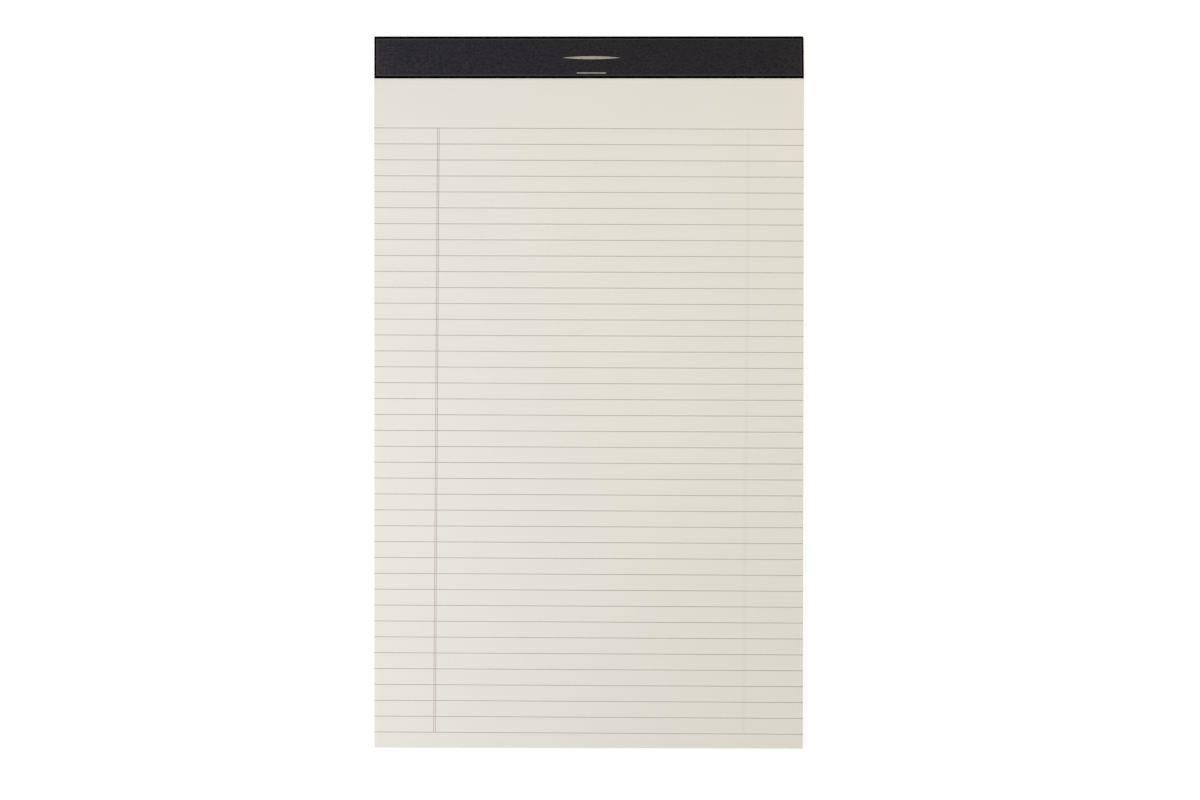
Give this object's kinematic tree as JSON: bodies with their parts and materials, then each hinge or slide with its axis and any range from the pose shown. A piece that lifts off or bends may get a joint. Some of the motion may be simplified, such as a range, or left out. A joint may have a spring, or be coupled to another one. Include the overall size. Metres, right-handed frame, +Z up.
{
  "type": "legal pad",
  "caption": "Long ruled writing pad with a double margin line, stapled at the head under a folded dark strip, on a stiff backing board.",
  "frame": {"origin": "under the middle of the pad, on the surface that it lies on", "axes": "+Y along the page towards the bound head, +X to the right across the page, +Z up out of the ruled face"},
  "size_m": [0.2144, 0.3556, 0.0067],
  "materials": {
    "paper": "uncoated off-white writing paper",
    "board": "raw grey chipboard",
    "strip": "matt black fibrous binding paper",
    "staple_wire": "plated staple wire",
    "ink": "pale grey-brown printing ink",
    "foil": "dull gold stamping foil"
  },
  "bodies": {
    "root": {"sheets": "paper", "backing_board": "board", "binding_strip": "strip", "staples": "staple_wire", "ruling": "ink", "foil_rules": "foil"}
  },
  "joints": []
}
